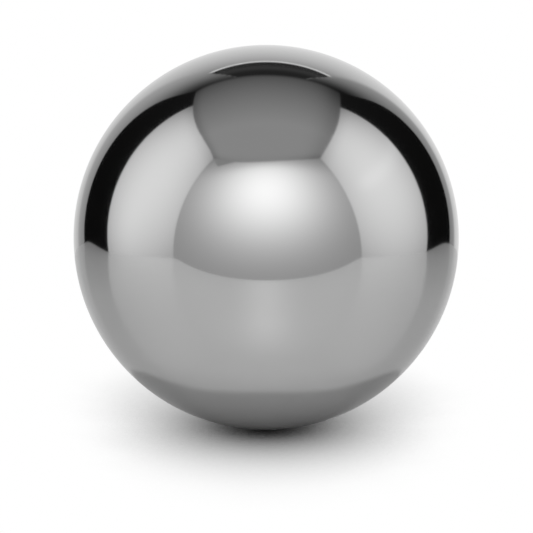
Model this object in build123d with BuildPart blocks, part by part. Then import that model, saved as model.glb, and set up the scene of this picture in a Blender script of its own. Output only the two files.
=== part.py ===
from build123d import *
import os

# A loose steel ball: one solid piece, hardened, ground and lapped all over to a mirror finish.
# It has no bore, no flat and no seam. Lengths are in millimetres.

# Driving dimension
ball_diameter = 50.0

ball_radius = ball_diameter / 2

# The origin is the centre of the ball. +Z is up, and the lowest point of the ball is on the Z axis.
# A sphere has no rest of its own: a cup, ring or groove holds it at that lowest point.

os.makedirs("parts", exist_ok=True)

# The ball is a half round, with its straight side on the Z axis, turned once about that axis.
with BuildPart() as ball:
    with BuildSketch(Plane.XZ) as half_section:
        with BuildLine() as outline:
            half_round = CenterArc((0, 0), ball_radius, start_angle=-90, arc_size=180)
            Line(half_round @ 1, half_round @ 0)
        make_face()
    revolve(axis=Axis.Z)

ball.part.label = "ball"
export_step(ball.part, "parts/ball.step")
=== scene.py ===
import math

import bmesh
import bpy
from mathutils import Matrix, Vector


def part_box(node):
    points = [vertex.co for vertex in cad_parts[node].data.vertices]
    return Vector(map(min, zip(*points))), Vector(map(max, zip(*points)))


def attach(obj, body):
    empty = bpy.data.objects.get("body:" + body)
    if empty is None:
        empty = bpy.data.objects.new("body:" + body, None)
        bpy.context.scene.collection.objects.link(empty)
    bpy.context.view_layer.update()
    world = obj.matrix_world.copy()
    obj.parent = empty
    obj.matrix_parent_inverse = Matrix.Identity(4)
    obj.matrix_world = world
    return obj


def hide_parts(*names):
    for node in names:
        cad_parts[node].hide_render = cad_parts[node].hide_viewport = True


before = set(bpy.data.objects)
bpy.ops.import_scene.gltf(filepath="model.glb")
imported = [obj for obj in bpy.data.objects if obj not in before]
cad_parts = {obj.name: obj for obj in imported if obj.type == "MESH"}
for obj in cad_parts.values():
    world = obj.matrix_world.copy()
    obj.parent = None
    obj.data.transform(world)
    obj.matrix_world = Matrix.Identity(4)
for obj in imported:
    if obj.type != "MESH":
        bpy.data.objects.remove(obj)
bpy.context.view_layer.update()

# A steel ball with a mirror finish on a pale floor, inside a light tent of white sheets.
# The object is in metres. Places and lengths of the tent, the floor and the lamp are in ball radii,
# from the centre of the ball. A light of 1 is white.

# The ball
ball_low, ball_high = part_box("ball")
ball_centre = Vector((0, 0, 0))
ball_radius = (ball_high.z - ball_low.z) / 2
faces_along_edge = 96

# The steel. The haze moves its roughness up and down by a share, and scales are per ball radius.
steel_grey = 0.57
steel_roughness = 0.07
haze_share = 0.15
haze_scale = 1.5
haze_detail = 4
lapping_scale = 120
lapping_detail = 2
lapping_strength = 0.05
lapping_depth = 1e-5

# The camera. It sees as far as its range times its distance. Lengths in the picture are in pixels.
camera_elevation = math.radians(12)
camera_distance = 40 * ball_radius
camera_range = 10
sensor_width = 36
picture_width = 533
ball_radius_in_picture = 192.65
ball_above_centre_in_picture = 29.0
ball_left_of_centre_in_picture = 0.3

# The tent
floor_level = -1.0
ceiling_level = 12.0
cells_along_sheet = 96

# The front sheet and its bright spot. Angles are in degrees, seen from the ball.
front_light = 0.415
spot_light = 1.24
spot_elevation = 38
spot_width = 39.5
spot_rise = 26.5
spot_drop = 29

# The side sheets and the faint folds in them
side_light = 1.16
side_azimuth = 81
side_elevation = 31
side_width = 55
side_height = 67
left_fold_light = 0.1
left_fold_azimuth = -88
left_fold_elevation = 4
right_fold_light = 0.08
right_fold_elevation = 31

# The dark gaps beside the back sheet. The head of each takes a share of the ceiling's side edge.
left_gap_share = 0.22
right_gap_share = 0.27
gap_light = 0.0042
gap_light_rise = 0.00048

# The back sheet
back_light = 0.4
back_fade_level = 2.5
back_fade_height = 6.4
back_edge = 3.5
back_fade_aside = 0.23
back_fade_right = 0.03

# The middle panel of the back sheet, with a bright hem and a dark opening over it
panel_half_width = 2.7
panel_foot_flare = 0.5
panel_head_flare = 0.35
panel_lean = 0.035
panel_light = 0.86
panel_fade_level = 1.2
panel_fade_height = 5.9
panel_fade_aside = 0.02
panel_brightest_x = 0.5
hem_level = 5.72
hem_rise = 0.085
hem_slope = 0.03
hem_height = 0.32
hem_soft_share = 0.4
hem_light = 1.0
slit_light = 0.024
slit_sheen = 0.032
slit_sheen_level = 8

# The ceiling, and the fold that hangs under its front left corner
ceiling_light = 0.345
ceiling_fade = 0.03
ceiling_most_light = 0.4
fold_drop = 1.5
fold_light = 0.34

# The floor
floor_reach = 150
first_ring = 0.02
floor_rings = 400
floor_sectors = 128

# The board, as the ball mirrors it, with painted light around a painted round shade of the ball and a
# painted streak of light in front
board_grey = 0.65
board_roughness = 0.2
painted_board_light = 0.165
painted_board_light_in_front = 0.055
painted_board_light_lost_behind = 0.04
painted_streak_light = 0.155
painted_streak_width = math.radians(12)
painted_shade_radius = 0.942
painted_shade_behind = 0.20
painted_shade_squareness = 0.035

# The paper, as the camera sees it. The openness values paint the ball's shade weaker by direction, and the
# contact shade paints it deeper
contact_shade = 0.116
shade_power = 0.83
shade_reach = 8
shade_samples = 16
openness_in_front = 1.28
openness_aside = 0.44
openness_lost_behind = 0.27

# The lamp high over the tent, which adds a little soft light to the floor. Its power is in watts.
lamp_distance = 14.0
lamp_tilt = math.radians(19.5)
lamp_diameter = 9.0
lamp_power = 0.1


def at(x, y, z):
    """A place in ball radii from the ball's centre, as a point in metres."""
    return ball_centre + Vector((x, y, z)) * ball_radius


def new_material(name):
    """An empty material, with its nodes and links."""
    material = bpy.data.materials.new(name)
    material.use_nodes = True
    material.node_tree.nodes.clear()
    return material, material.node_tree.nodes, material.node_tree.links


def add_haze(nodes, links, place, shader):
    """The polish is a little uneven, so the roughness drifts slowly over the ball."""
    haze = nodes.new("ShaderNodeTexNoise")
    haze.inputs["Scale"].default_value = haze_scale / ball_radius
    haze.inputs["Detail"].default_value = haze_detail
    links.new(place.outputs["Object"], haze.inputs["Vector"])
    spread = nodes.new("ShaderNodeMapRange")
    spread.inputs["To Min"].default_value = steel_roughness * (1 - haze_share)
    spread.inputs["To Max"].default_value = steel_roughness * (1 + haze_share)
    links.new(haze.outputs["Fac"], spread.inputs["Value"])
    links.new(spread.outputs["Result"], shader.inputs["Roughness"])


def add_lapping(nodes, links, place, shader):
    """Lapping leaves very fine, very shallow marks all over."""
    lapping = nodes.new("ShaderNodeTexNoise")
    lapping.inputs["Scale"].default_value = lapping_scale / ball_radius
    lapping.inputs["Detail"].default_value = lapping_detail
    links.new(place.outputs["Object"], lapping.inputs["Vector"])
    bump = nodes.new("ShaderNodeBump")
    bump.inputs["Strength"].default_value = lapping_strength
    bump.inputs["Distance"].default_value = ball_radius * lapping_depth
    links.new(lapping.outputs["Fac"], bump.inputs["Height"])
    links.new(bump.outputs["Normal"], shader.inputs["Normal"])


def steel_material():
    """Lapped and polished steel: a neutral mirror with a faint haze and fine marks."""
    material, nodes, links = new_material("polished_steel")
    output = nodes.new("ShaderNodeOutputMaterial")
    shader = nodes.new("ShaderNodeBsdfPrincipled")
    shader.inputs["Base Color"].default_value = (steel_grey, steel_grey, steel_grey, 1)
    shader.inputs["Metallic"].default_value = 1
    links.new(shader.outputs["BSDF"], output.inputs["Surface"])
    place = nodes.new("ShaderNodeTexCoord")
    add_haze(nodes, links, place, shader)
    add_lapping(nodes, links, place, shader)
    return material


def make_ball():
    """The ball as a cube of even square cells, each pushed out to the sphere."""
    mesh = bmesh.new()
    corners = {}

    def corner(x, y, z):
        """The corner of the cells at that count of cells along each axis, made once."""
        key = (x, y, z)
        if key not in corners:
            bend = [math.tan(math.pi / 4 * (2 * value / faces_along_edge - 1)) for value in key]
            corners[key] = mesh.verts.new(ball_centre + Vector(bend).normalized() * ball_radius)
        return corners[key]

    last = faces_along_edge
    for i in range(last):
        for j in range(last):
            cell = ((i, j), (i + 1, j), (i + 1, j + 1), (i, j + 1))
            mesh.faces.new([corner(u, v, last) for u, v in cell])
            mesh.faces.new([corner(v, u, 0) for u, v in cell])
            mesh.faces.new([corner(last, u, v) for u, v in cell])
            mesh.faces.new([corner(0, v, u) for u, v in cell])
            mesh.faces.new([corner(v, last, u) for u, v in cell])
            mesh.faces.new([corner(u, 0, v) for u, v in cell])
    data = bpy.data.meshes.new("mirror_ball")
    mesh.to_mesh(data)
    mesh.free()
    data.shade_smooth()
    data.materials.append(steel_material())
    ball = bpy.data.objects.new("mirror_ball", data)
    bpy.context.scene.collection.objects.link(ball)
    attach(ball, "root")
    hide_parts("ball")


def hill(distance, width):
    """1 at no distance, falling smoothly away over about the width."""
    return math.exp(-((distance / width) ** 2))


def ramp(value, start, end):
    """0 before the start and 1 past the end, with a smooth way between them."""
    t = min(1, max(0, (value - start) / (end - start)))
    return t * t * (3 - 2 * t)


def mix(light, other, share):
    """The first light where the share is 0, and the other where it is 1."""
    return light + (other - light) * share


def seam(distance, depth, width):
    """The share of the light that is lost at a distance from a soft, dark seam."""
    return depth * hill(distance, width)


def level_edge(height, *places):
    """An edge that lies level, through evenly spaced places."""
    return [at(x, y, height) for x, y in places]


def on_edge(edge, t):
    """A place on the smooth curve through an edge's places, which are evenly spaced from t = 0 to 1."""
    last = len(edge) - 1
    place = Vector((0, 0, 0))
    for i, through in enumerate(edge):
        share = 1
        for j in range(len(edge)):
            if j != i:
                share *= (t * last - j) / (i - j)
        place += through * share
    return place


def part_of(edge, start, end):
    """The stretch of an edge between two values of t, as an edge of its own."""
    last = len(edge) - 1
    return [on_edge(edge, start + (end - start) * i / last) for i in range(len(edge))]


def bearing(place):
    """Azimuth and elevation of a place seen from the ball, in degrees. Azimuth 0 is the camera's side."""
    away = place - ball_centre
    azimuth = math.degrees(math.atan2(away.x, -away.y))
    elevation = math.degrees(math.atan2(away.z, math.hypot(away.x, away.y)))
    return azimuth, elevation


def sheet_material():
    """A sheet that gives off as much light as the attribute glow says."""
    material, nodes, links = new_material("lit_sheet")
    output = nodes.new("ShaderNodeOutputMaterial")
    light = nodes.new("ShaderNodeEmission")
    glow = nodes.new("ShaderNodeAttribute")
    glow.attribute_name = "glow"
    links.new(glow.outputs["Fac"], light.inputs["Strength"])
    links.new(light.outputs["Emission"], output.inputs["Surface"])
    return material


def sheet_cells():
    """The corners of each cell of a sheet, by number, row by row."""
    wide = cells_along_sheet + 1
    cells = []
    for row in range(cells_along_sheet):
        for column in range(cells_along_sheet):
            below = row * wide + column
            above = below + wide
            cells.append((below, below + 1, above + 1, above))
    return cells


def make_sheet(name, foot, head, left, right, glow, material):
    """A sheet between four edges. Its sides run up, and its foot and head run the same way."""
    steps = [step / cells_along_sheet for step in range(cells_along_sheet + 1)]
    feet = [on_edge(foot, u) for u in steps]
    heads = [on_edge(head, u) for u in steps]
    lefts = [on_edge(left, v) for v in steps]
    rights = [on_edge(right, v) for v in steps]
    places = []
    lights = []
    for v, left_place, right_place in zip(steps, lefts, rights):
        for u, foot_place, head_place in zip(steps, feet, heads):
            flat = foot[0].lerp(foot[-1], u).lerp(head[0].lerp(head[-1], u), v)
            place = foot_place.lerp(head_place, v) + left_place.lerp(right_place, u) - flat
            places.append(place)
            lights.append(glow(place, u, v))
    data = bpy.data.meshes.new(name)
    data.from_pydata(places, [], sheet_cells())
    data.shade_smooth()
    data.attributes.new("glow", "FLOAT", "POINT").data.foreach_set("value", lights)
    data.materials.append(material)
    sheet = bpy.data.objects.new(name, data)
    bpy.context.scene.collection.objects.link(sheet)
    sheet.visible_camera = False
    sheet.visible_shadow = False


def front_glow(place, u, v):
    """The front sheet has a soft bright spot above the camera, and is dimmer along its head."""
    azimuth, elevation = bearing(place)
    spot_height = spot_rise if elevation > spot_elevation else spot_drop
    spot = spot_light * hill(azimuth, spot_width) * hill(elevation - spot_elevation, spot_height)
    head_seam = seam(1 - v, depth=0.35, width=0.15)
    side_seams = seam(min(u, 1 - u), depth=0.08, width=0.015)
    return (front_light + spot) * (1 - head_seam - side_seams)


def side_glow(place, u, v):
    """The side sheets are brightest beside the ball, a little over its top, with a faint fold in each."""
    azimuth, elevation = bearing(place)
    across = (abs(azimuth) - side_azimuth) / side_width
    up = (elevation - side_elevation) / side_height
    light = side_light * (1 - across ** 2 - up ** 2)
    left_fold = hill(azimuth - left_fold_azimuth, width=12)
    left_fold *= hill(elevation - left_fold_elevation, width=16)
    right_fold = hill(elevation - right_fold_elevation, width=4)
    right_fold *= ramp(azimuth, start=60, end=75)
    light += left_fold_light * left_fold + right_fold_light * right_fold
    return light * (1 - seam(1 - v, depth=0.15, width=0.08))


def gap_glow(place, u, v):
    """Next to no light comes through the gaps beside the back sheet, and least near the floor."""
    height = (place.z - ball_centre.z) / ball_radius - floor_level
    return gap_light + gap_light_rise * height


def panel_inset(x, z):
    """How far a place on the back sheet is inside its middle panel, which flares at its foot and head."""
    foot_flare = panel_foot_flare * hill(z - floor_level, width=1.5)
    head_flare = panel_head_flare * ramp(z, start=5.5, end=7.5)
    return panel_half_width + foot_flare + head_flare - abs(x - panel_lean * z)


def back_glow(place, u, v):
    """The back sheet is dim near the ceiling. Its middle panel is brighter, and is open over its hem."""
    x, _, z = (place - ball_centre) / ball_radius
    sides = back_light * hill(max(0, z - back_fade_level), back_fade_height)
    sides *= (1 - back_fade_aside * (abs(x) - back_edge)) * (1 - back_fade_right * x)
    panel = panel_light * hill(max(0, z - panel_fade_level), panel_fade_height)
    panel *= 1 - panel_fade_aside * (x - panel_brightest_x) ** 2
    inset = panel_inset(x, z)
    light = mix(sides, panel, ramp(inset, start=-0.3, end=0.3))

    hem_top = hem_level + hem_rise * x * x - hem_slope * x
    hem_foot = hem_top - hem_height
    on_hem = ramp(inset, start=0, end=0.2) * ramp(z, hem_foot, hem_foot + hem_soft_share * hem_height)
    light = mix(light, hem_light, on_hem)

    dark = slit_light + slit_sheen * hill(z - slit_sheen_level, width=1.2)
    in_slit = ramp(inset, start=0, end=0.15) * ramp(z, hem_top, hem_top + 0.2)
    return mix(light, dark, in_slit)


def ceiling_glow(place, u, v):
    """The ceiling is dimmer towards the back, and along its seams."""
    behind = (place.y - ball_centre.y) / ball_radius
    light = min(ceiling_most_light, ceiling_light - ceiling_fade * behind)
    front_seam = seam(1 - v, depth=0.1 + 0.8 * (u - 0.45) ** 2, width=0.055)
    back_seam = seam(v, depth=0.55, width=0.03)
    left_seam = seam(u, depth=0.3, width=0.05)
    right_seam = seam(1 - u, depth=0.25 + 0.3 * hill(v, width=0.3), width=0.13)
    return light * (1 - front_seam) * (1 - back_seam) * (1 - left_seam) * (1 - right_seam)


def fold_glow(place, u, v):
    """The fold under the ceiling is the same all over."""
    return fold_light


def make_tent():
    """Seven sheets that share edges, so that no light comes between them, and a fold under the ceiling."""
    material = sheet_material()
    foot = floor_level
    head = ceiling_level
    low = foot + (head - foot) / 3
    middle = (foot + head) / 2
    high = head - (head - foot) / 3

    front_foot = level_edge(foot, (-13.0, -9.2), (-6.5, -6.7), (0, -5.05), (6.6, -6.45), (13.3, -8.75))
    front_head = level_edge(head, (-7.06, -6.1), (-3.6, -7.85), (0, -8.1), (3.6, -7.47), (7.2, -5.95))
    back_foot = level_edge(foot, (-4.7, 4.0), (0, 4.0), (4.35, 4.05))
    back_head = level_edge(head, (-6.4, 8.15), (-3.1, 8.0), (0.2, 7.65), (3.5, 8.05), (6.85, 8.5))
    ceiling_left = level_edge(head, (-6.4, 8.15), (-7.13, 4.4), (-7.43, 0.6), (-7.15, -2.9), (-7.06, -6.1))
    ceiling_right = level_edge(head, (6.85, 8.5), (7.2, 4.9), (7.55, 1.3), (7.52, -2.3), (7.2, -5.95))

    left_gap_head = part_of(ceiling_left, left_gap_share, 0)
    right_gap_head = part_of(ceiling_right, right_gap_share, 0)
    left_head = part_of(ceiling_left, left_gap_share, 1)
    right_head = part_of(ceiling_right, 1, right_gap_share)
    left_foot = level_edge(foot, (-7.2, 1.5), (-10.7, -3.8), (-13.0, -9.2))
    right_foot = level_edge(foot, (13.3, -8.75), (10.7, -3.5), (7.0, 1.8))
    left_gap_foot = level_edge(foot, (-7.2, 1.5), (-6.4, 3.75), (-4.7, 4.0))
    right_gap_foot = level_edge(foot, (7.0, 1.8), (6.1, 3.6), (4.35, 4.05))

    front_left = (front_foot[0], at(-11.12, -7.85, middle), front_head[0])
    front_right = (front_foot[-1], at(10.43, -7.2, middle), front_head[-1])
    left_back = (left_foot[0], at(-7.15, 3.23, middle), left_head[0])
    right_back = (right_foot[-1], at(7.15, 3.3, middle), right_head[-1])
    back_left = (back_foot[0], at(-4.66, 5.4, low), at(-5.73, 6.9, high), back_head[0])
    back_right = (back_foot[-1], at(4.42, 5.4, low), at(5.96, 7.0, high), back_head[-1])

    make_sheet("front_sheet", front_foot, front_head, front_left, front_right, front_glow, material)
    make_sheet("left_sheet", left_foot, left_head, left_back, front_left, side_glow, material)
    make_sheet("right_sheet", right_foot, right_head, front_right, right_back, side_glow, material)
    make_sheet("left_gap", left_gap_foot, left_gap_head, left_back, back_left, gap_glow, material)
    make_sheet("right_gap", right_gap_foot, right_gap_head, right_back, back_right, gap_glow, material)
    make_sheet("back_sheet", back_foot, back_head, back_left, back_right, back_glow, material)
    make_sheet("ceiling", back_head, front_head, ceiling_left, ceiling_right, ceiling_glow, material)
    make_fold(head - fold_drop, material)


def make_fold(height, material):
    """The fold is a small level triangle, as a sheet whose left edge has no length."""
    start, tip, end = level_edge(height, (-6.21, -5.25), (-6.06, -6.9), (-3.76, -6.81))
    make_sheet("ceiling_fold", (start, tip), (start, end), (start, start), (tip, end), fold_glow, material)


def add_board(nodes, links):
    """The shader of a glossy white board that gives off as much light as the attribute glow says: painted
    light around a painted shade of the ball, and a painted streak of light in front.
    """
    board = nodes.new("ShaderNodeBsdfPrincipled")
    board.inputs["Base Color"].default_value = (board_grey, board_grey, board_grey, 1)
    board.inputs["Roughness"].default_value = board_roughness
    glow = nodes.new("ShaderNodeAttribute")
    glow.attribute_name = "glow"
    # This emission paints light on the board around a painted shade of the ball
    painted_light = nodes.new("ShaderNodeEmission")
    links.new(glow.outputs["Fac"], painted_light.inputs["Strength"])
    both = nodes.new("ShaderNodeAddShader")
    links.new(board.outputs["BSDF"], both.inputs[0])
    links.new(painted_light.outputs["Emission"], both.inputs[1])
    return both.outputs["Shader"]


def add_paper(nodes, links):
    """The shader of white paper with the ball's soft shade from ambient occlusion, which the painted
    attribute openness makes weaker.
    """
    shade = nodes.new("ShaderNodeAmbientOcclusion")
    shade.samples = shade_samples
    shade.inputs["Distance"].default_value = shade_reach * ball_radius
    softer = nodes.new("ShaderNodeMath")
    softer.operation = "POWER"
    softer.inputs[1].default_value = shade_power
    links.new(shade.outputs["AO"], softer.inputs[0])
    openness = nodes.new("ShaderNodeAttribute")
    openness.attribute_name = "openness"
    lift = nodes.new("ShaderNodeMath")
    lift.operation = "MULTIPLY_ADD"
    lift.inputs[2].default_value = -contact_shade
    lift.use_clamp = True
    links.new(softer.outputs["Value"], lift.inputs[0])
    links.new(openness.outputs["Fac"], lift.inputs[1])
    paper = nodes.new("ShaderNodeEmission")
    links.new(lift.outputs["Value"], paper.inputs["Strength"])
    return paper.outputs["Emission"]


def floor_material():
    """The camera sees the floor as paper, and the ball mirrors it as a glossy board."""
    material, nodes, links = new_material("pale_floor")
    output = nodes.new("ShaderNodeOutputMaterial")
    ray = nodes.new("ShaderNodeLightPath")
    choose = nodes.new("ShaderNodeMixShader")
    links.new(ray.outputs["Is Camera Ray"], choose.inputs["Fac"])
    links.new(add_board(nodes, links), choose.inputs[1])
    links.new(add_paper(nodes, links), choose.inputs[2])
    links.new(choose.outputs["Shader"], output.inputs["Surface"])
    return material


def floor_painted_light_and_shade(x, y, azimuth, distance):
    """Painted light on the board outside a painted shade of the ball, which is nearly round, with a
    painted streak of light in front.
    """
    squareness = painted_shade_squareness * math.sin(2 * azimuth) ** 2
    past_painted_shade = math.hypot(x, y - painted_shade_behind) - painted_shade_radius + squareness
    in_front = ramp(math.cos(azimuth), start=0, end=0.7)
    behind = ramp(-math.cos(azimuth), start=-0.1, end=0.3)
    # Painted light outside the painted round shade of the ball
    light = painted_board_light * ramp(past_painted_shade, start=-0.05, end=0.04)
    light += painted_board_light_in_front * ramp(past_painted_shade, start=0, end=0.25) * in_front
    light -= painted_board_light_lost_behind * ramp(past_painted_shade, start=1, end=2.5) * behind
    # Painted streak of light in front
    return light + painted_streak_light * hill(azimuth, painted_streak_width) * ramp(distance, start=1.0, end=1.9)


def floor_openness(azimuth, distance):
    """The ball's shade on the paper is painted weaker, most at its two sides, which face the lit side
    sheets.
    """
    aside = math.sin(azimuth) ** 2
    behind = max(0, -math.cos(azimuth)) * (1 - ramp(distance, start=0.8, end=2.2))
    return openness_in_front + openness_aside * aside - openness_lost_behind * behind


def floor_faces():
    """A round face in the middle, and a ring of four-sided faces between each pair of rings."""
    faces = [tuple(range(floor_sectors))]
    for ring in range(floor_rings):
        inner = ring * floor_sectors
        outer = inner + floor_sectors
        for sector in range(floor_sectors):
            beside = (sector + 1) % floor_sectors
            faces.append((inner + sector, outer + sector, outer + beside, inner + beside))
    return faces


def make_floor():
    """Rings about the ball's foot, each a little wider than the one inside it."""
    growth = (floor_reach / first_ring) ** (1 / floor_rings)
    places = []
    painted_floor_lights = []
    opennesses = []
    for ring in range(floor_rings + 1):
        distance = first_ring * growth ** ring
        for sector in range(floor_sectors):
            azimuth = math.remainder(2 * math.pi * sector / floor_sectors, 2 * math.pi)
            x = distance * math.sin(azimuth)
            y = -distance * math.cos(azimuth)
            places.append(at(x, y, floor_level))
            # Painted light and shade of the board
            painted_floor_lights.append(floor_painted_light_and_shade(x, y, azimuth, distance))
            opennesses.append(floor_openness(azimuth, distance))
    data = bpy.data.meshes.new("floor")
    data.from_pydata(places, [], floor_faces())
    for name, values in (("glow", painted_floor_lights), ("openness", opennesses)):
        data.attributes.new(name, "FLOAT", "POINT").data.foreach_set("value", values)
    data.materials.append(floor_material())
    floor = bpy.data.objects.new("floor", data)
    bpy.context.scene.collection.objects.link(floor)


def make_lamp():
    """A wide lamp high over the tent, which adds a soft light to the floor as the ball mirrors it."""
    data = bpy.data.lights.new("lamp", "AREA")
    data.shape = "DISK"
    data.size = lamp_diameter * ball_radius
    data.energy = lamp_power
    lamp = bpy.data.objects.new("lamp", data)
    bpy.context.scene.collection.objects.link(lamp)
    away = Vector((0, -math.sin(lamp_tilt), math.cos(lamp_tilt)))
    lamp.location = at(*(away * lamp_distance))
    lamp.rotation_mode = "QUATERNION"
    lamp.rotation_quaternion = away.to_track_quat("Z", "Y")
    lamp.visible_camera = False
    lamp.visible_glossy = False


def make_world():
    """White to the camera and in reflections, and dark to all other rays."""
    world = bpy.data.worlds.new("studio")
    bpy.context.scene.world = world
    world.use_nodes = True
    nodes = world.node_tree.nodes
    links = world.node_tree.links
    background = nodes["Background"]
    background.inputs["Color"].default_value = (1, 1, 1, 1)
    ray = nodes.new("ShaderNodeLightPath")
    seen = nodes.new("ShaderNodeMath")
    seen.operation = "MAXIMUM"
    links.new(ray.outputs["Is Camera Ray"], seen.inputs[0])
    links.new(ray.outputs["Is Glossy Ray"], seen.inputs[1])
    links.new(seen.outputs["Value"], background.inputs["Strength"])


def make_camera():
    """The camera looks slightly down on the ball from far away, as the photograph was taken."""
    data = bpy.data.cameras.new("camera")
    camera = bpy.data.objects.new("camera", data)
    bpy.context.scene.collection.objects.link(camera)
    data.sensor_width = sensor_width
    distance_in_picture = ball_radius_in_picture * math.sqrt((camera_distance / ball_radius) ** 2 - 1)
    data.lens = sensor_width * distance_in_picture / picture_width
    data.clip_start = ball_radius
    data.clip_end = camera_range * camera_distance
    back = Vector((0, -math.cos(camera_elevation), math.sin(camera_elevation)))
    right = Vector((1, 0, 0))
    up = back.cross(right)
    pixel = ball_radius / ball_radius_in_picture
    aside = right * ball_left_of_centre_in_picture * pixel
    below = up * ball_above_centre_in_picture * pixel
    aim = ball_centre + aside - below
    turn = Matrix((right, up, back)).transposed().to_4x4()
    camera.matrix_world = Matrix.Translation(aim + back * camera_distance) @ turn
    bpy.context.scene.camera = camera


bpy.context.scene.view_settings.view_transform = "Standard"
make_camera()
make_ball()
make_floor()
make_tent()
make_lamp()
make_world()
